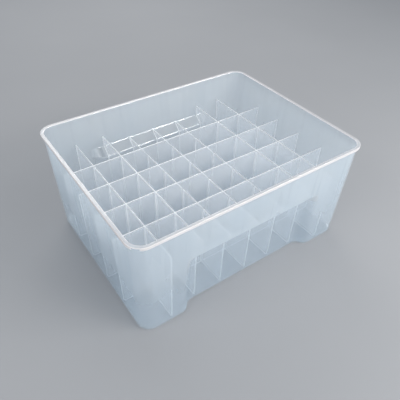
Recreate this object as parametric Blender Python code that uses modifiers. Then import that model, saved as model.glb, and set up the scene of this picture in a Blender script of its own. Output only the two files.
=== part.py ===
"""Parts sorting tray: a moulded polypropylene tray with a flanged rim and a grip recess in
each long side, holding a lift-out grid of four long and seven cross divider sheets.

Metres, +Z up. The origin is on the ground under the middle of the tray. The long sides run
along X, and the front is at -Y. The seven cross dividers stand on the floor with slots open
at the top. The four long dividers drop over them from above, with slots open at the bottom.
"""

import math

import bmesh
import bpy
from mathutils import Matrix, Vector

MM = 0.001

# Tray shell
BASE_LENGTH = 385 * MM  # outside, at the foot of the walls
BASE_WIDTH = 294 * MM
TRAY_HEIGHT = 181.2 * MM  # ground to rim top
WALL = 2 * MM  # walls, floor and rim alike
END_DRAFT = math.radians(1.45)  # lean of the two short walls
SIDE_DRAFT = math.radians(2.0)  # lean of the two long walls
BASE_CORNER_RADIUS = 20 * MM  # upright corners, at their foot
BASE_EDGE_RADIUS = 2.5 * MM  # where the floor turns up into the walls
BASE_EDGE_STEPS = 3
CORNER_STEPS = 6

# Rim: a flange with a lip turned down
RIM_OVERHANG = 3.1 * MM  # from the outside of the wall
RIM_DEPTH = 4.7 * MM  # rim top to the lip's lower edge
RIM_EDGE = 0.5 * MM  # rounding of its edges

# Grip recess in each long side, open at the bottom and closed by a sloping ledge
GRIP_DEPTH = 13.8 * MM
GRIP_HEIGHT = 115 * MM  # ground to where the ledge leaves the outside of the wall
GRIP_MARGIN = 2 * MM  # flat panel, at the ledge, beyond the outermost cross divider that meets it
GRIP_DRAFT = math.radians(2)  # the panel widens downwards by this at each side
LEDGE_SLOPE = math.radians(45)  # below the horizontal
LEDGE_OUTER_RADIUS = 4 * MM  # wall to ledge
LEDGE_INNER_RADIUS = 2 * MM  # ledge to panel
LEDGE_STEPS = 3
RAMP_SLOPE = math.radians(47)  # of the recess's sides, in plan
RAMP_RADIUS = 14 * MM
RAMP_STEPS = 4

# Feet: shallow pads pressed out of the floor, one near each corner
FOOT_HEIGHT = 0.8 * MM
FOOT_LENGTH = 38 * MM
FOOT_WIDTH = 13 * MM
FOOT_END_INSET = 15 * MM  # from the outside of the short wall's foot
FOOT_SIDE_INSET = 34 * MM  # from the outside of the long wall's foot
FOOT_STEPS = 8

# Divider grid
COLUMNS = 8
ROWS = 5
SHEET = 1.5 * MM
GRID_TOP = 135 * MM  # ground to the top of the full-height sheets
LOW_DIVIDERS = 3  # middle cross dividers, cut down to just above the ledge
LOW_DROP = 17.27 * MM  # their top below that of the full-height sheets
SHEET_CHAMFER = 3 * MM  # bottom corners of every sheet
SLOT_CLEARANCE = 0.3 * MM  # each side of a sheet in a slot
LAP_CLEARANCE = 0.3 * MM  # above and below where two slots meet
END_CLEARANCE = 0.6 * MM  # sheet ends to the walls
FLOOR_CLEARANCE = 0.3 * MM

CUT_PAST = 1 * MM  # how far a cutter or a joined shape runs past a face

BASE = FOOT_HEIGHT  # height of the floor's underside
FLOOR_TOP = BASE + WALL
SHEET_BOTTOM = FLOOR_TOP + FLOOR_CLEARANCE
LAP_HEIGHT = (SHEET_BOTTOM + GRID_TOP) / 2


def half_length(height):
    """Outside half length of the tray at a height."""
    return BASE_LENGTH / 2 + math.tan(END_DRAFT) * (height - BASE)


def half_width(height):
    """Outside half width of the tray at a height, away from the grip recesses."""
    return BASE_WIDTH / 2 + math.tan(SIDE_DRAFT) * (height - BASE)


def corner_radius(height):
    return BASE_CORNER_RADIUS + math.tan(END_DRAFT) * (height - BASE)


def inner_half_length(height):
    return half_length(height) - WALL / math.cos(END_DRAFT)


def inner_half_width(height):
    return half_width(height) - WALL / math.cos(SIDE_DRAFT)


def inner_ledge():
    """(depth, height) of the ledge's two corners on the inside of the shell."""
    rise = WALL * math.tan((math.pi / 2 - LEDGE_SLOPE) / 2)
    top = GRIP_HEIGHT + rise
    return (0.0, top), (GRIP_DEPTH, top - GRIP_DEPTH * math.tan(LEDGE_SLOPE))


LEDGE_TOP = inner_ledge()[0][1]
LEDGE_BOTTOM = inner_ledge()[1][1]
PANEL_HALF_WIDTH = inner_half_width(LEDGE_BOTTOM) - GRIP_DEPTH
COLUMN_PITCH = 2 * inner_half_length(GRID_TOP) / COLUMNS
ROW_PITCH = 2 * PANEL_HALF_WIDTH / ROWS
CROSS_PLACES = [COLUMN_PITCH * (i - COLUMNS / 2) for i in range(1, COLUMNS)]
LONG_PLACES = [ROW_PITCH * (i - ROWS / 2) for i in range(1, ROWS)]


def panel_half_length(height):
    """Half length of the recess's flat panel at a height."""
    return CROSS_PLACES[-2] + GRIP_MARGIN + math.tan(GRIP_DRAFT) * (LEDGE_BOTTOM - height)


def arc(centre, radius, start, end, steps):
    """Points on an arc in a plane, from one angle to another."""
    turns = [start + (end - start) * k / steps for k in range(steps + 1)]
    return [(centre[0] + radius * math.cos(a), centre[1] + radius * math.sin(a)) for a in turns]


def rounded(before, corner, after, radius, steps):
    """The corner of an open path, as an arc tangent to its two sides."""
    corner = Vector(corner)
    to_before = (Vector(before) - corner).normalized()
    to_after = (Vector(after) - corner).normalized()
    half = to_before.angle(to_after) / 2
    centre = corner + (to_before + to_after).normalized() * (radius / math.sin(half))
    start = corner + to_before * (radius / math.tan(half)) - centre
    turn = start.angle_signed(corner + to_after * (radius / math.tan(half)) - centre)
    return [tuple(centre + Matrix.Rotation(-turn * k / steps, 2) @ start) for k in range(steps + 1)]


def ramp():
    """The recess's side in plan: (distance past the flat panel, share of the depth that is left)."""
    arc_depth = RAMP_RADIUS * (1 - math.cos(RAMP_SLOPE))
    straight = (GRIP_DEPTH - 2 * arc_depth) / math.sin(RAMP_SLOPE)
    length = 2 * RAMP_RADIUS * math.sin(RAMP_SLOPE) + straight * math.cos(RAMP_SLOPE)
    turns = [RAMP_SLOPE * k / RAMP_STEPS for k in range(RAMP_STEPS + 1)]
    foot = [(RAMP_RADIUS * math.sin(a), RAMP_RADIUS * (1 - math.cos(a))) for a in turns]
    head = [(length - along, GRIP_DEPTH - out) for along, out in reversed(foot)]
    return [(along, 1 - out / GRIP_DEPTH) for along, out in foot + head]


def outline(height, depth):
    """The outside of the walls at a height, anticlockwise, with the recesses at that depth."""
    long_half, wide_half, radius = half_length(height), half_width(height), corner_radius(height)
    side = [(panel_half_length(height) + along, share * depth) for along, share in ramp()]
    front = [(-x, -(wide_half - inset)) for x, inset in reversed(side)]
    front += [(x, -(wide_half - inset)) for x, inset in side]
    quarter = math.pi / 2
    spots = [(1, -1), (1, 1), (-1, 1), (-1, -1)]
    corners = []
    for turn, (sx, sy) in enumerate(spots, -1):
        centre = (sx * (long_half - radius), sy * (wide_half - radius))
        corners.append(arc(centre, radius, turn * quarter, (turn + 1) * quarter, CORNER_STEPS))
    back = [(-x, -y) for x, y in front]
    return front + corners[0] + corners[1] + back + corners[2] + corners[3]


def moved_out(points, distance):
    """A closed anticlockwise outline moved outwards by a distance along its normals."""
    moved = []
    for k, (x, y) in enumerate(points):
        before = Vector(points[k - 1])
        after = Vector(points[(k + 1) % len(points)])
        here = Vector((x, y))
        normals = [Vector((side.y, -side.x)).normalized() for side in (here - before, after - here)]
        normal = (normals[0] + normals[1]).normalized()
        moved.append(here + normal * (distance / normal.dot(normals[0])))
    return [tuple(p) for p in moved]


def ledge_profile():
    """(depth, height) points of the outside of the wall past the ledge, from the bottom up."""
    top = (0.0, GRIP_HEIGHT)
    foot = (GRIP_DEPTH, GRIP_HEIGHT - GRIP_DEPTH * math.tan(LEDGE_SLOPE))
    below = (GRIP_DEPTH, BASE)
    above = (0.0, TRAY_HEIGHT)
    path = rounded(below, foot, top, LEDGE_INNER_RADIUS, LEDGE_STEPS)
    return path + rounded(foot, top, above, LEDGE_OUTER_RADIUS, LEDGE_STEPS)


def skin_rings():
    """The shell's outer surface as rings of points, from the floor's edge to the lip's lower edge."""
    rings = []
    for k in range(BASE_EDGE_STEPS + 1):
        turn = math.pi / 2 * k / BASE_EDGE_STEPS
        inset = BASE_EDGE_RADIUS * (1 - math.sin(turn))
        height = BASE + BASE_EDGE_RADIUS * (1 - math.cos(turn))
        rings.append((height, moved_out(outline(height, GRIP_DEPTH), -inset)))
    rings += [(height, outline(height, depth)) for depth, height in ledge_profile()]
    under_flange = TRAY_HEIGHT - WALL
    rim = outline(under_flange, 0.0)
    rings.append((under_flange, rim))
    lip = moved_out(rim, RIM_OVERHANG - WALL)
    rings.append((under_flange, lip))
    rings.append((TRAY_HEIGHT - RIM_DEPTH, lip))
    return rings


def new_object(name, mesh, collection, colour):
    """An object for a mesh, in a collection, with a material of its own."""
    thing = bpy.data.objects.new(name, mesh)
    collection.objects.link(thing)
    material = bpy.data.materials.new(name)
    material.use_nodes = True
    shader = material.node_tree.nodes["Principled BSDF"]
    shader.inputs["Base Color"].default_value = (*colour, 1.0)
    shader.inputs["Roughness"].default_value = 0.4
    shader.inputs["Metallic"].default_value = 0.0
    shader.inputs["Transmission Weight"].default_value = 0.6
    mesh.materials.append(material)
    return thing


def pad(name, centre, length, width, low, high, collection):
    """An upright block with round ends, used to join a foot or to cut its hollow."""
    radius = width / 2
    reach = length / 2 - radius
    quarter = math.pi / 2
    ends = arc((reach, 0), radius, -quarter, quarter, FOOT_STEPS)
    ends += arc((-reach, 0), radius, quarter, 3 * quarter, FOOT_STEPS)
    shape = bmesh.new()
    face = shape.faces.new([shape.verts.new((centre[0] + x, centre[1] + y, low)) for x, y in ends])
    raised = bmesh.ops.extrude_face_region(shape, geom=[face])["geom"]
    corners = [item for item in raised if isinstance(item, bmesh.types.BMVert)]
    bmesh.ops.translate(shape, verts=corners, vec=(0, 0, high - low))
    bmesh.ops.recalc_face_normals(shape, faces=shape.faces)
    mesh = bpy.data.meshes.new(name)
    shape.to_mesh(mesh)
    shape.free()
    block = bpy.data.objects.new(name, mesh)
    block.hide_render = True
    block.display_type = "WIRE"
    collection.objects.link(block)
    return block


def add_boolean(thing, other, operation):
    modifier = thing.modifiers.new(other.name, "BOOLEAN")
    modifier.operation = operation
    modifier.object = other


def add_feet(tray, cutters):
    """Presses a foot pad out of the floor near each corner."""
    x = BASE_LENGTH / 2 - FOOT_END_INSET - FOOT_LENGTH / 2
    y = BASE_WIDTH / 2 - FOOT_SIDE_INSET - FOOT_WIDTH / 2
    hollow = (FOOT_LENGTH - 2 * WALL, FOOT_WIDTH - 2 * WALL)
    places = [(sx * x, sy * y) for sx in (-1, 1) for sy in (-1, 1)]
    for number, place in enumerate(places, 1):
        foot = pad(f"foot_{number}", place, FOOT_LENGTH, FOOT_WIDTH, 0.0, BASE + WALL / 2, cutters)
        add_boolean(tray, foot, "UNION")
    for number, place in enumerate(places, 1):
        dip = pad(f"foot_hollow_{number}", place, *hollow, WALL, FLOOR_TOP + CUT_PAST, cutters)
        add_boolean(tray, dip, "DIFFERENCE")


def build_tray(collection, cutters):
    """The tray: one open skin, thickened inwards, with its rim's edges rounded."""
    rings = skin_rings()
    shape = bmesh.new()
    rows = [[shape.verts.new((x, y, height)) for x, y in points] for height, points in rings]
    shape.faces.new(list(reversed(rows[0])))
    for lower, upper in zip(rows, rows[1:]):
        for k in range(len(lower)):
            after = (k + 1) % len(lower)
            shape.faces.new((lower[k], lower[after], upper[after], upper[k]))
    mesh = bpy.data.meshes.new("tray_body")
    shape.to_mesh(mesh)
    shape.free()
    mesh.shade_smooth()
    mesh.set_sharp_from_angle(angle=math.radians(35))
    tray = new_object("tray_body", mesh, collection, (0.74, 0.83, 0.90))
    shell = tray.modifiers.new("shell", "SOLIDIFY")
    shell.thickness = WALL
    shell.offset = -1
    shell.use_even_offset = True
    edges = tray.modifiers.new("rim_edges", "BEVEL")
    edges.width = RIM_EDGE
    edges.segments = 2
    edges.limit_method = "ANGLE"
    edges.angle_limit = math.radians(60)
    add_feet(tray, cutters)
    return tray


def flat_sheet(name, points, turn, place, collection):
    """A divider: an upright sheet cut to an outline of (along, height) points, then turned and placed."""
    curve = bpy.data.curves.new(name, "CURVE")
    curve.dimensions = "2D"
    curve.fill_mode = "BOTH"
    curve.extrude = SHEET / 2
    spline = curve.splines.new("POLY")
    spline.points.add(len(points) - 1)
    for point, (along, height) in zip(spline.points, points):
        point.co = (along, height, 0, 1)
    spline.use_cyclic_u = True
    sheet = new_object(name, curve, collection, (0.80, 0.87, 0.92))
    sheet.rotation_euler = (math.pi / 2, 0, turn)
    sheet.location = place
    return sheet


def build_long_divider(number, place, collection):
    """A sheet along X with a slot in its lower edge over each cross divider."""
    reach_low = inner_half_length(SHEET_BOTTOM) - END_CLEARANCE
    reach_high = inner_half_length(GRID_TOP) - END_CLEARANCE
    slot_half = SHEET / 2 + SLOT_CLEARANCE
    slot_top = LAP_HEIGHT + LAP_CLEARANCE
    points = [(-reach_low, SHEET_BOTTOM + SHEET_CHAMFER), (-reach_low + SHEET_CHAMFER, SHEET_BOTTOM)]
    for x in CROSS_PLACES:
        points += [(x - slot_half, SHEET_BOTTOM), (x - slot_half, slot_top)]
        points += [(x + slot_half, slot_top), (x + slot_half, SHEET_BOTTOM)]
    points += [(reach_low - SHEET_CHAMFER, SHEET_BOTTOM), (reach_low, SHEET_BOTTOM + SHEET_CHAMFER)]
    points += [(reach_high, GRID_TOP), (-reach_high, GRID_TOP)]
    return flat_sheet(f"long_divider_{number}", points, 0.0, (0, place, 0), collection)


def cross_end(top, in_recess):
    """(half length, height) points up one end of a cross divider, past its bottom chamfer."""
    heights = [SHEET_BOTTOM + SHEET_CHAMFER, top]
    drop = END_CLEARANCE * math.tan((math.pi / 2 - LEDGE_SLOPE) / 2)
    foot = LEDGE_BOTTOM + drop
    shoulder = LEDGE_TOP + drop
    if in_recess:
        heights[1:1] = [h for h in (foot, shoulder) if h < top]
    inset = {h: GRIP_DEPTH if in_recess and h <= foot else 0.0 for h in heights}
    if in_recess and foot < top < shoulder:
        inset[top] = GRIP_DEPTH * (shoulder - top) / (shoulder - foot)
    return [(inner_half_width(h) - inset[h] - END_CLEARANCE, h) for h in heights]


def build_cross_divider(number, place, collection):
    """A sheet along Y with a slot in its upper edge under each long divider."""
    middle = abs(number - COLUMNS / 2) < LOW_DIVIDERS / 2
    top = GRID_TOP - LOW_DROP if middle else GRID_TOP
    end = cross_end(top, abs(place) < panel_half_length(LEDGE_BOTTOM))
    slot_half = SHEET / 2 + SLOT_CLEARANCE
    slot_bottom = LAP_HEIGHT - LAP_CLEARANCE
    points = [(-end[0][0] + SHEET_CHAMFER, SHEET_BOTTOM), (end[0][0] - SHEET_CHAMFER, SHEET_BOTTOM)]
    points += end
    for y in reversed(LONG_PLACES):
        points += [(y + slot_half, top), (y + slot_half, slot_bottom)]
        points += [(y - slot_half, slot_bottom), (y - slot_half, top)]
    points += [(-reach, height) for reach, height in reversed(end)]
    return flat_sheet(f"cross_divider_{number}", points, math.pi / 2, (place, 0, 0), collection)


def new_collection(name):
    collection = bpy.data.collections.new(name)
    bpy.context.scene.collection.children.link(collection)
    return collection


def main():
    for old in list(bpy.data.objects):
        bpy.data.objects.remove(old)
    collection = new_collection("parts_sorting_tray")
    cutters = new_collection("cutters")
    build_tray(collection, cutters)
    for number, place in enumerate(reversed(LONG_PLACES), 1):
        build_long_divider(number, place, collection)
    for number, place in enumerate(CROSS_PLACES, 1):
        build_cross_divider(number, place, collection)


main()
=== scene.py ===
import math

import bmesh
import bpy
from mathutils import Matrix, Vector


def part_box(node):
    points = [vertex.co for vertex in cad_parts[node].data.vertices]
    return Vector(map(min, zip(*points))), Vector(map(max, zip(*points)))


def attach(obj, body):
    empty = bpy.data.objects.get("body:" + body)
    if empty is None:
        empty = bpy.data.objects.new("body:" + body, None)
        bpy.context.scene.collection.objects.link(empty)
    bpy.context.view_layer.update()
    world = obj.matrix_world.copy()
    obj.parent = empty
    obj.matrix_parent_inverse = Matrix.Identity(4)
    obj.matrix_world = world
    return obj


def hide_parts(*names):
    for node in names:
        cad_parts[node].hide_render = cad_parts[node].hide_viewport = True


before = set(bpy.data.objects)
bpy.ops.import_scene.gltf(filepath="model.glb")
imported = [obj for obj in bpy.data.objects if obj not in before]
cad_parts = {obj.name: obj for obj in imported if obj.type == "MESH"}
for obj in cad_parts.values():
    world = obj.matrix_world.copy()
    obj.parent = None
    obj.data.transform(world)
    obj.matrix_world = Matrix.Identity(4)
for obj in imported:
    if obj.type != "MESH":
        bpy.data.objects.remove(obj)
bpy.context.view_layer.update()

MM = 0.001
NEAR = 0.05 * MM

# The moulding's top corner, a hair inside the frame's box
TRAY_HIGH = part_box("tray_body")[1] - Vector((1, 1, 1)) * NEAR
RIM_TOP = TRAY_HIGH.z

# Walls and floor
WALL = 2 * MM
SMOOTH_ANGLE = 40  # degrees; sharper edges stay crisp
FLOOR_UNDER = 0.8 * MM  # the floor's underside; only the foot pads reach the ground
END_DRAFT = math.tan(math.radians(1.45))
SIDE_DRAFT = math.tan(math.radians(2.0))
CORNER_RADIUS = 20 * MM  # upright corners, at their foot
CORNER_STEPS = 14
BASE_ROUND = 2.5 * MM
BASE_ROUND_STEPS = 5

# Rim: a flange with a lip turned down
RIM_OVERHANG = 3.1 * MM
RIM_DEPTH = 4.7 * MM
RIM_ROUND = 0.9 * MM
RIM_ROUND_STEPS = 4
FLANGE_UNDER = RIM_TOP - WALL

WALL_FOOT = FLOOR_UNDER + BASE_ROUND  # where the floor's rounding meets the walls

# Half sizes of the outside, at the flange and at the foot of the walls
TOP_HALF = Vector((TRAY_HIGH.x - RIM_OVERHANG, TRAY_HIGH.y - RIM_OVERHANG))
BASE_HALF = TOP_HALF - (FLANGE_UNDER - WALL_FOOT) * Vector((END_DRAFT, SIDE_DRAFT))

# Grip recess in each long wall, under a sloping ledge
GRIP_DEPTH = 13.8 * MM
GRIP_HEIGHT = 115 * MM
GRIP_HALF = 102.5 * MM  # flat panel, at the floor
GRIP_DRAFT = math.tan(math.radians(2))
LEDGE_SLOPE = math.radians(45)
LEDGE_OUTER_ROUND = 4 * MM
LEDGE_INNER_ROUND = 2.4 * MM
LEDGE_STEPS = 5
RAMP_SLOPE = math.radians(47)  # the recess's sides, in plan
RAMP_ROUND = 14 * MM
RAMP_STEPS = 7
RAMP_REACH = 26 * MM  # how far the sides reach past the flat panel
BESIDE_GRIP = 40 * MM  # past the flat panel, between the recess's sides and the tray's corners

# Foot pads pressed out of the floor
FOOT_LENGTH = 38 * MM
FOOT_WIDTH = 13 * MM
FOOT_INSET = Vector((15 * MM, 34 * MM))
FOOT_STEPS = 10
FOOT_SLOPE = 1.25  # how far the hollow's sides lean out, to their height

# Divider sheets
MERGE = 0.01 * MM  # points of a loose triangle mesh closer than this are one
SHEET_ROUND = 0.25 * MM
SHEET_GLOW_MARGIN = 0.6 * MM  # the band of a sheet's faces beside a cut edge, painted with the edge's glow

# What one skin of plastic does to the light that goes straight through it
CLEAR_WALL = (0.955, 0.982, 1.0, 1)
CLEAR_SHEET = (0.978, 0.987, 0.995, 1)

# Patterns in the plastic: noise scales, and the frost's height
FLOW_SCALE = 42
CLOUD_SCALE = 14
FROST_SCALE = 420
FROST_HEIGHT = 0.2 * MM
PLASTIC_IOR = 1.49

# How level a face is, as the size of its normal's z
LEVEL = 0.99
LEDGE_LEVEL = 0.06  # above this, a face at the recess is part of its ledge
BEND_LEVEL = (0.1, 0.95)  # the base's rounding and the sides of the foot pads' hollows
DENTED = 1.4 * WALL  # a face further in than this is the recess's

# Studio
LIGHT_TARGET = (0, 0, 0.09)
LIGHT_COLOUR = (1.0, 0.99, 0.97)
AIR_COLOUR = (0.80, 0.87, 0.95, 1)
AIR_STRENGTH = 0.45
FLOOR_SIZE = 40
FLOOR_LEVEL = -0.2 * MM

# Camera
CAMERA_PLACE = Vector((-335.1, -466.7, 552.5)) * MM
CAMERA_AZIMUTH = math.radians(35.99)
CAMERA_ELEVATION = math.radians(41.03)
CAMERA_ROLL = math.radians(1.61)
CAMERA_LENS = 39.85


def deselect():
    bpy.ops.object.select_all(action="DESELECT")


def only(piece):
    """Makes a piece the only one selected, and the active one."""
    deselect()
    piece.select_set(True)
    bpy.context.view_layer.objects.active = piece


def start_edit(piece):
    only(piece)
    bpy.ops.object.mode_set(mode="EDIT")
    bpy.ops.mesh.select_all(action="DESELECT")


def end_edit():
    bpy.ops.object.mode_set(mode="OBJECT")


def pick(piece, kind, wanted):
    """In edit mode, selects the vertices, edges or faces for which wanted is true."""
    bpy.ops.mesh.select_mode(type=kind)
    bpy.ops.mesh.select_all(action="DESELECT")
    shape = bmesh.from_edit_mesh(piece.data)
    parts = {"VERT": shape.verts, "EDGE": shape.edges, "FACE": shape.faces}[kind]
    for part in parts:
        if wanted(part):
            part.select_set(True)
    shape.select_flush_mode()
    bmesh.update_edit_mesh(piece.data)


def apply_modifier(piece, kind, **settings):
    only(piece)
    modifier = piece.modifiers.new(kind.lower(), kind)
    for name, value in settings.items():
        setattr(modifier, name, value)
    bpy.ops.object.modifier_apply(modifier=modifier.name)


def smooth(piece, angle):
    only(piece)
    bpy.ops.object.shade_smooth_by_angle(angle=math.radians(angle), keep_sharp_edges=False)


def at_height(height):
    return lambda part: all(abs(v.co.z - height) < NEAR for v in getattr(part, "verts", [part]))


def side_slope():
    """A recess's side in plan: (distance past the flat panel, share of the depth left) pairs."""
    turns = [RAMP_SLOPE * k / RAMP_STEPS for k in range(RAMP_STEPS + 1)]
    foot = [(RAMP_ROUND * math.sin(a), RAMP_ROUND * (1 - math.cos(a))) for a in turns]
    straight = (GRIP_DEPTH - 2 * foot[-1][1]) / math.tan(RAMP_SLOPE)
    length = 2 * foot[-1][0] + straight
    head = [(length - along, GRIP_DEPTH - out) for along, out in reversed(foot)]
    return [(along, 1 - out / GRIP_DEPTH) for along, out in foot + head]


def ledge_rings():
    """(height, depth) pairs up the recess, over its ledge and on to the wall above."""
    tangent = math.tan((math.pi / 2 - LEDGE_SLOPE) / 2)
    foot = GRIP_HEIGHT - GRIP_DEPTH * math.tan(LEDGE_SLOPE)
    lean = math.pi / 2 - LEDGE_SLOPE
    turns = [lean * k / LEDGE_STEPS for k in range(LEDGE_STEPS + 1)]
    start = foot - LEDGE_INNER_ROUND * tangent
    end = GRIP_HEIGHT + LEDGE_OUTER_ROUND * tangent
    inner = [(start + LEDGE_INNER_ROUND * math.sin(a),
              GRIP_DEPTH - LEDGE_INNER_ROUND * (1 - math.cos(a))) for a in turns]
    outer = [(end - LEDGE_OUTER_ROUND * math.sin(a),
              LEDGE_OUTER_ROUND * (1 - math.cos(a))) for a in reversed(turns)]
    return inner + outer


def floor_sheet():
    """The floor: a sheet with round corners, cut across where the recesses' sides bend, then dented."""
    deselect()
    bpy.ops.mesh.primitive_plane_add(size=2, location=(0, 0, FLOOR_UNDER))
    sheet = bpy.context.object
    sheet.scale = (BASE_HALF.x - BASE_ROUND, BASE_HALF.y - BASE_ROUND, 1)
    bpy.ops.object.transform_apply(location=True, rotation=True, scale=True)
    start_edit(sheet)
    bpy.ops.mesh.select_all(action="SELECT")
    bpy.ops.mesh.bevel(offset=CORNER_RADIUS, affect="VERTICES", segments=CORNER_STEPS)
    for along, _ in side_slope():
        for end in (-1, 1):
            place = end * (GRIP_HALF + along)
            bpy.ops.mesh.select_all(action="SELECT")
            bpy.ops.mesh.bisect(plane_co=(place, 0, 0), plane_no=(1, 0, 0))
    for along, share in side_slope():
        for side in (-1, 1):
            pick(sheet, "VERT", lambda v: v.co.y * side > 0
                 and abs(abs(v.co.x) - GRIP_HALF - along) < NEAR)
            bpy.ops.transform.translate(value=(0, -side * share * GRIP_DEPTH, 0))
    end_edit()
    return sheet


def beside_grip(vertex):
    return abs(vertex.co.x) < GRIP_HALF + BESIDE_GRIP


def half_width(height):
    return BASE_HALF.y + SIDE_DRAFT * (height - WALL_FOOT)


def half_length(height):
    return BASE_HALF.x + END_DRAFT * (height - WALL_FOOT)


def round_base():
    """Draws the open edge up and out through a quarter turn, to the foot of the walls."""
    turns = [math.pi / 2 * k / BASE_ROUND_STEPS for k in range(BASE_ROUND_STEPS + 1)]
    for last, turn in zip(turns, turns[1:]):
        rise = BASE_ROUND * (math.cos(last) - math.cos(turn))
        out = BASE_ROUND * (math.sin(turn) - math.sin(last))
        inset = BASE_ROUND * (1 - math.sin(last))
        bpy.ops.mesh.extrude_edges_move(TRANSFORM_OT_translate={"value": (0, 0, rise)})
        wider = (1 + out / (BASE_HALF.x - inset), 1 + out / (BASE_HALF.y - inset), 1)
        bpy.ops.transform.resize(value=wider, center_override=(0, 0, 0))


def raise_walls(shell, height, depth, last_height, last_depth):
    """Draws the open edge up to a height, with the walls' draft and the recesses at their depth there."""
    bpy.ops.mesh.extrude_edges_move(TRANSFORM_OT_translate={"value": (0, 0, height - last_height)})
    ring = at_height(height)
    longer = half_length(height) / half_length(last_height)
    wider = half_width(height) / half_width(last_height)
    bpy.ops.transform.resize(value=(longer, wider, 1), center_override=(0, 0, 0))
    narrowed = 1 - GRIP_DRAFT * (height - last_height) / GRIP_HALF
    pick(shell, "VERT", lambda v: ring(v) and beside_grip(v))
    bpy.ops.transform.resize(value=(narrowed / longer, 1, 1), center_override=(0, 0, 0))
    for side in (-1, 1):
        pick(shell, "VERT", lambda v: ring(v) and beside_grip(v) and v.co.y * side > 0)
        wall = (0, side * half_width(height), 0)
        bpy.ops.transform.resize(value=(1, depth / last_depth, 1), center_override=wall)
    pick(shell, "EDGE", ring)


def turn_out_rim(shell):
    """Turns the top edge out and down, as a flange with a lip."""
    out = RIM_OVERHANG - WALL
    wider = (1 + out / TOP_HALF.x, 1 + out / TOP_HALF.y, 1)
    bpy.ops.mesh.extrude_edges_move()
    bpy.ops.transform.resize(value=wider, center_override=(0, 0, FLANGE_UNDER))
    bpy.ops.mesh.extrude_edges_move(TRANSFORM_OT_translate={"value": (0, 0, WALL - RIM_DEPTH)})


def build_skin():
    """The outside of the moulding, as one open skin."""
    shell = floor_sheet()
    start_edit(shell)
    pick(shell, "EDGE", lambda e: e.is_boundary)
    round_base()
    last_height, last_depth = WALL_FOOT, GRIP_DEPTH
    for height, depth in ledge_rings() + [(FLANGE_UNDER, NEAR)]:
        depth = max(depth, NEAR)  # never nothing, because the next ring is scaled from it
        raise_walls(shell, height, depth, last_height, last_depth)
        last_height, last_depth = height, depth
    turn_out_rim(shell)
    bpy.ops.mesh.select_all(action="SELECT")
    bpy.ops.mesh.normals_make_consistent(inside=True)  # the lip, the outermost part, faces in
    end_edit()
    return shell


def foot_block(x, y, length, width, low, high, lean=0):
    """A block with round ends, whose sides lean out, to join a foot pad or to cut its hollow."""
    deselect()
    bpy.ops.mesh.primitive_cube_add(size=1, location=(x, y, (low + high) / 2))
    block = bpy.context.object
    block.scale = (length, width, high - low)
    bpy.ops.object.transform_apply(location=True, rotation=True, scale=True)
    start_edit(block)
    pick(block, "EDGE", lambda e: abs(e.verts[0].co.z - e.verts[1].co.z) > NEAR)
    bpy.ops.mesh.bevel(offset=width / 2 - NEAR, segments=FOOT_STEPS)
    pick(block, "VERT", at_height(high))
    out = 2 * lean * (high - low)
    bpy.ops.transform.resize(value=(1 + out / length, 1 + out / width, 1), center_override=(x, y, high))
    end_edit()
    return block


def join(piece, tool, operation):
    apply_modifier(piece, "BOOLEAN", operation=operation, solver="EXACT", object=tool)
    bpy.data.objects.remove(tool)


def press_feet(shell):
    """Presses a shallow foot pad out of the floor near each corner."""
    place = BASE_HALF - FOOT_INSET - Vector((FOOT_LENGTH, FOOT_WIDTH)) / 2
    corners = [(x, y) for x in (-place.x, place.x) for y in (-place.y, place.y)]
    for x, y in corners:
        join(shell, foot_block(x, y, FOOT_LENGTH, FOOT_WIDTH, 0, FLOOR_UNDER + WALL / 2), "UNION")
    hollow = (FOOT_LENGTH - 2 * WALL, FOOT_WIDTH - 2 * WALL)
    for x, y in corners:
        join(shell, foot_block(x, y, *hollow, WALL, FLOOR_UNDER + 2 * WALL, FOOT_SLOPE), "DIFFERENCE")


def round_rim(shell):
    """Rounds the edges of the flange and of its lip."""
    start_edit(shell)
    low = RIM_TOP - RIM_DEPTH - NEAR
    pick(shell, "EDGE", lambda e: min(v.co.z for v in e.verts) > low and len(e.link_faces) == 2
         and e.calc_face_angle() > math.radians(60))
    bpy.ops.mesh.bevel(offset=RIM_ROUND, segments=RIM_ROUND_STEPS, profile=0.5)
    end_edit()


def new_material(name):
    """A material with an empty node tree, and its output node."""
    material = bpy.data.materials.new(name)
    material.use_nodes = True
    material.node_tree.nodes.clear()
    return material, material.node_tree, material.node_tree.nodes.new("ShaderNodeOutputMaterial")


def input_socket(node, name):
    """A node's input by its name, with _ for a space, or by its number, as in i1."""
    if name[0] == "i" and name[1:].isdigit():
        return node.inputs[int(name[1:])]
    return node.inputs[name.replace("_", " ")]


def add(tree, kind, **inputs):
    """A node of a kind. A constant goes into the input of that name, and a socket is linked to it."""
    node = tree.nodes.new("ShaderNode" + kind)
    for name, value in inputs.items():
        socket = input_socket(node, name)
        if isinstance(value, bpy.types.NodeSocket):
            tree.links.new(value, socket)
        else:
            socket.default_value = value
    return node


def noise(tree, scales, scale, detail, roughness=0.5):
    """Noise on the piece's own coordinates, stretched by a scale for each axis."""
    place = add(tree, "TexCoord").outputs["Object"]
    stretched = add(tree, "Mapping", Vector=place, Scale=scales).outputs["Vector"]
    texture = add(tree, "TexNoise", Vector=stretched, Scale=scale, Detail=detail, Roughness=roughness)
    return texture.outputs["Fac"]


def spread(tree, value, low, high, start=0.3, end=0.7):
    """A value from start to end, mapped to low to high."""
    node = add(tree, "MapRange", Value=value)
    node.inputs["From Min"].default_value = start
    node.inputs["From Max"].default_value = end
    node.inputs["To Min"].default_value = low
    node.inputs["To Max"].default_value = high
    return node.outputs["Result"]


def tint(tree, value, low, high):
    """A colour between two, by a value from 0 to 1."""
    ramp = add(tree, "ValToRGB", Fac=value)
    ramp.color_ramp.elements[0].color = (*low, 1)
    ramp.color_ramp.elements[1].color = (*high, 1)
    return ramp.outputs["Color"]


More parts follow.
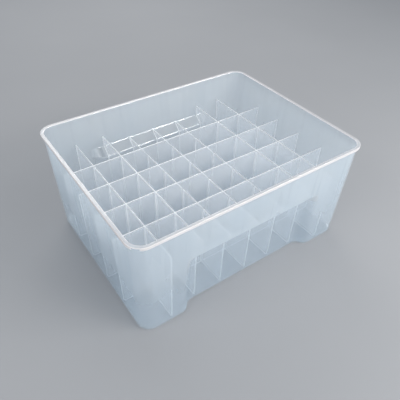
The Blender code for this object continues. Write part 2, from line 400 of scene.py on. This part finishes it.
def milkier_upwards(tree, value, growth):
    """A value as it is at the ground, and that many times as large at the rim."""
    place = add(tree, "TexCoord").outputs["Object"]
    height = add(tree, "SeparateXYZ", Vector=place).outputs["Z"]
    larger = add(tree, "Math", i0=value, i1=spread(tree, height, 1, growth, 0, RIM_TOP))
    larger.operation = "MULTIPLY"
    return larger.outputs["Value"]


def natural_plastic(name, cool, warm, opacity, shine, glow=0.5, grain=0.03, mirror=0.05, patchy=0.04,
                    streaks=(1, 1, 0.08), seen_through=CLEAR_WALL, growth=1):
    """Milky natural plastic: light passes straight through some of it, and glows through the rest."""
    material, tree, out = new_material(name)
    flow = noise(tree, streaks, FLOW_SCALE, 2)
    cloud = noise(tree, (1, 1, 1), CLOUD_SCALE, 3)
    frost = noise(tree, (1, 1, 1), FROST_SCALE, 1)
    colour = tint(tree, spread(tree, cloud, 0, 1), cool, warm)
    rough = spread(tree, flow, shine * 0.85, shine * 1.2)
    bump = add(tree, "Bump", Height=frost, Strength=grain, Distance=FROST_HEIGHT).outputs["Normal"]
    surface = add(tree, "BsdfPrincipled", Base_Color=colour, Roughness=rough, Normal=bump,
                  IOR=PLASTIC_IOR)
    through = add(tree, "BsdfTranslucent", Color=colour, Normal=bump).outputs["BSDF"]
    milky = add(tree, "MixShader", Fac=glow, i1=surface.outputs["BSDF"], i2=through).outputs["Shader"]
    clear = add(tree, "BsdfTransparent", Color=seen_through).outputs["BSDF"]
    covered = spread(tree, flow, opacity * (1 - patchy), min(1, opacity * (1 + patchy)))
    covered = milkier_upwards(tree, covered, growth)
    body = add(tree, "MixShader", Fac=covered, i1=clear, i2=milky).outputs["Shader"]
    skin = add(tree, "BsdfGlossy", Color=(1, 1, 1, 1), Roughness=shine * 0.6).outputs["BSDF"]
    whole = add(tree, "MixShader", Fac=mirror, i1=body, i2=skin).outputs["Shader"]
    tree.links.new(whole, out.inputs["Surface"])
    return material


def wall_plastic():
    return natural_plastic("milky_wall_plastic", (0.86, 0.92, 0.97), (0.90, 0.94, 0.97), 0.24, 0.28,
                           growth=1.35)


def rim_plastic():
    return natural_plastic("thick_rim_plastic", (0.88, 0.87, 0.88), (0.92, 0.90, 0.90), 0.66, 0.30)


# The flange's rounded edges: a whiter, near-opaque skin that paints a highlight along them; the stronger
# gloss on top is a real reflection.
def rim_edge_painted_highlight_plastic():
    return natural_plastic("rounded_rim_edge_painted_highlight", (0.93, 0.89, 0.885), (0.95, 0.915, 0.91), 0.95, 0.18,
                           glow=0.2, mirror=0.10)


def grip_plastic():
    return natural_plastic("polished_grip_plastic", (0.86, 0.92, 0.97), (0.89, 0.935, 0.97), 0.24, 0.12,
                           grain=0.01, mirror=0.06, patchy=0.02)


# The polished bends: the ledge's roundings, the base's rounding and the foot hollows' sides. Their paler,
# milkier skin paints bright highlight lines along them; the stronger gloss is a real reflection.
def polished_bend_painted_highlight_plastic():
    return natural_plastic("polished_bend_painted_highlight", (0.90, 0.94, 0.97), (0.92, 0.95, 0.97), 0.38, 0.12, glow=0.4,
                           grain=0.01, mirror=0.22, patchy=0.02)


def sheet_plastic():
    return natural_plastic("frosted_sheet_plastic", (0.94, 0.95, 0.96), (0.96, 0.96, 0.965), 0.24, 0.30,
                           streaks=(1, 1, 0.3), mirror=0.04, seen_through=CLEAR_SHEET)


# A sheet's cut edges: a whiter, near-opaque skin that paints the glow of light carried in the sheet.
def cut_edge_painted_glow_plastic():
    return natural_plastic("cut_sheet_edge_painted_glow", (0.97, 0.975, 0.98), (0.985, 0.985, 0.985), 0.94, 0.35,
                           glow=0.4, grain=0.1, seen_through=CLEAR_SHEET)


def paint(piece, materials, choose):
    """Gives a piece its materials, with choose(face) the number of each face's own."""
    piece.data.materials.clear()
    for material in materials:
        piece.data.materials.append(material)
    for face in piece.data.polygons:
        face.material_index = choose(face)


def shell_part(face):
    """A face's finish: 0 wall or floor, 1 rim flat, 2 rim edge with a painted highlight, 3 grip, 4
    polished bend with a painted highlight.
    """
    place = face.center
    slope = abs(face.normal.z)
    beyond = abs(place.x) > half_length(place.z) or abs(place.y) > half_width(place.z)
    if place.z > FLANGE_UNDER + NEAR or beyond and place.z > RIM_TOP - RIM_DEPTH - NEAR:
        # Rounded rim faces take the rim edge finish, a painted highlight.
        return 1 if slope > LEVEL else 2
    # The base's rounding and the foot hollows' sides: the bend finish, a painted highlight line.
    if BEND_LEVEL[0] < slope < BEND_LEVEL[1] and place.z < 2 * WALL_FOOT:
        return 4
    above_grip = place.z > GRIP_HEIGHT + LEDGE_OUTER_ROUND
    if abs(place.x) > GRIP_HALF + RAMP_REACH or above_grip or slope > LEVEL:
        return 0
    # The ledge's roundings: the bend finish, a painted highlight line; its flat slope: the grip's finish.
    if slope > LEDGE_LEVEL and place.z > 2 * WALL_FOOT:
        return 3 if abs(slope - math.sin(LEDGE_SLOPE)) < 0.02 else 4
    inset = half_width(place.z) - abs(place.y)
    return 3 if inset > DENTED else 0


def build_tray():
    shell = build_skin()
    shell.name = "tray_shell"
    apply_modifier(shell, "SOLIDIFY", thickness=WALL, offset=-1, use_even_offset=True)
    press_feet(shell)
    round_rim(shell)
    smooth(shell, SMOOTH_ANGLE)
    apply_modifier(shell, "WEIGHTED_NORMAL", keep_sharp=True, weight=60)
    finishes = [wall_plastic(), rim_plastic(), rim_edge_painted_highlight_plastic(), grip_plastic(),
                polished_bend_painted_highlight_plastic()]
    paint(shell, finishes, shell_part)
    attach(shell, "tray")
    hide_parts("tray_body")


def build_divider(node, body, sheet, edge):
    """A divider sheet: the frame's own outline with its edges eased, and its cut edges and a thin band
    beside them painted with a bright glow.
    """
    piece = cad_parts[node].copy()
    piece.data = piece.data.copy()
    piece.name = node + "_sheet"
    piece.parent = None
    bpy.context.scene.collection.objects.link(piece)
    across = Vector((1, 0, 0)) if body == "cross_dividers" else Vector((0, 1, 0))
    start_edit(piece)
    bpy.ops.mesh.select_all(action="SELECT")
    bpy.ops.mesh.remove_doubles(threshold=MERGE)
    bpy.ops.mesh.dissolve_limited(angle_limit=math.radians(1))
    pick(piece, "FACE", lambda f: abs(f.normal.dot(across)) > 0.9)
    bpy.ops.mesh.inset(thickness=SHEET_GLOW_MARGIN, depth=0, use_even_offset=True)
    end_edit()
    apply_modifier(piece, "BEVEL", width=SHEET_ROUND, segments=2, limit_method="ANGLE",
                   angle_limit=math.radians(30))
    smooth(piece, SMOOTH_ANGLE)
    apply_modifier(piece, "WEIGHTED_NORMAL", keep_sharp=True, weight=80)
    # The two broad faces keep the sheet's finish; the cut edges and the band beside them get the painted
    # glow.
    broad = sorted(piece.data.polygons, key=lambda f: f.area)[-2:]
    paint(piece, [sheet, edge], lambda face: 0 if face in broad else 1)
    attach(piece, body)
    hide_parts(node)


def build_dividers():
    sheet, edge = sheet_plastic(), cut_edge_painted_glow_plastic()
    bodies = {f"long_divider_{n}": f"long_divider_{n}" for n in range(1, 5)}
    bodies.update({f"cross_divider_{n}": "cross_dividers" for n in range(1, 8)})
    for node, body in bodies.items():
        build_divider(node, body, sheet, edge)


def build_floor():
    """A plain pale studio floor."""
    deselect()
    bpy.ops.mesh.primitive_plane_add(size=FLOOR_SIZE, location=(0, 0, FLOOR_LEVEL))
    floor = bpy.context.object
    floor.name = "studio_floor"
    material, tree, out = new_material("pale_studio_floor")
    shade = tint(tree, noise(tree, (1, 1, 1), 3, 2), (0.36, 0.365, 0.38), (0.39, 0.395, 0.41))
    surface = add(tree, "BsdfPrincipled", Base_Color=shade, Roughness=0.85)
    tree.links.new(surface.outputs["BSDF"], out.inputs["Surface"])
    paint(floor, [material], lambda face: 0)


def aimed(kind, name, place, target):
    """A light or camera at a place, looking at a target."""
    data = bpy.data.cameras.new(name) if kind == "CAMERA" else bpy.data.lights.new(name, kind)
    thing = bpy.data.objects.new(name, data)
    bpy.context.scene.collection.objects.link(thing)
    thing.location = place
    thing.rotation_mode = "QUATERNION"
    thing.rotation_quaternion = (Vector(target) - Vector(place)).to_track_quat("-Z", "Y")
    return thing


def soft_box(name, place, size, power):
    light = aimed("AREA", name, place, LIGHT_TARGET)
    light.data.shape = "RECTANGLE"
    light.data.size, light.data.size_y = size
    light.data.energy = power
    light.data.color = LIGHT_COLOUR


def light_studio():
    world = bpy.data.worlds.new("studio_air")
    world.use_nodes = True
    air = world.node_tree.nodes["Background"]
    air.inputs["Color"].default_value = AIR_COLOUR
    air.inputs["Strength"].default_value = AIR_STRENGTH
    bpy.context.scene.world = world
    soft_box("left_soft_box", (-1.3, -0.2, 1.1), (1.0, 0.8), 7)
    soft_box("back_soft_box", (0.5, 1.5, 1.3), (1.4, 0.7), 13)
    soft_box("right_soft_box", (1.4, -0.7, 0.55), (0.7, 0.4), 2)
    soft_box("low_soft_box", (-0.35, -1.5, 0.3), (1.2, 0.3), 5)
    soft_box("front_soft_box", (0.66, -1.08, 0.9), (0.9, 0.22), 13)


def place_camera():
    level = math.cos(CAMERA_ELEVATION)
    look = Vector((level * math.sin(CAMERA_AZIMUTH),
                   level * math.cos(CAMERA_AZIMUTH),
                   -math.sin(CAMERA_ELEVATION)))
    camera = aimed("CAMERA", "camera", CAMERA_PLACE, CAMERA_PLACE + look)
    roll = Matrix.Rotation(CAMERA_ROLL, 3, "Z").to_quaternion()
    camera.rotation_quaternion = camera.rotation_quaternion @ roll
    camera.data.sensor_width = 36
    camera.data.lens = CAMERA_LENS
    camera.data.clip_start = 0.01
    bpy.context.scene.camera = camera


def let_light_through():
    """Lets light pass all the skins that lie one behind another, and keeps colours as they are."""
    scene = bpy.context.scene
    scene.view_settings.view_transform = "Standard"
    scene.cycles.transparent_max_bounces = 64
    scene.cycles.max_bounces = 20
    scene.cycles.diffuse_bounces = 12


build_tray()
build_dividers()
build_floor()
light_studio()
place_camera()
let_light_through()
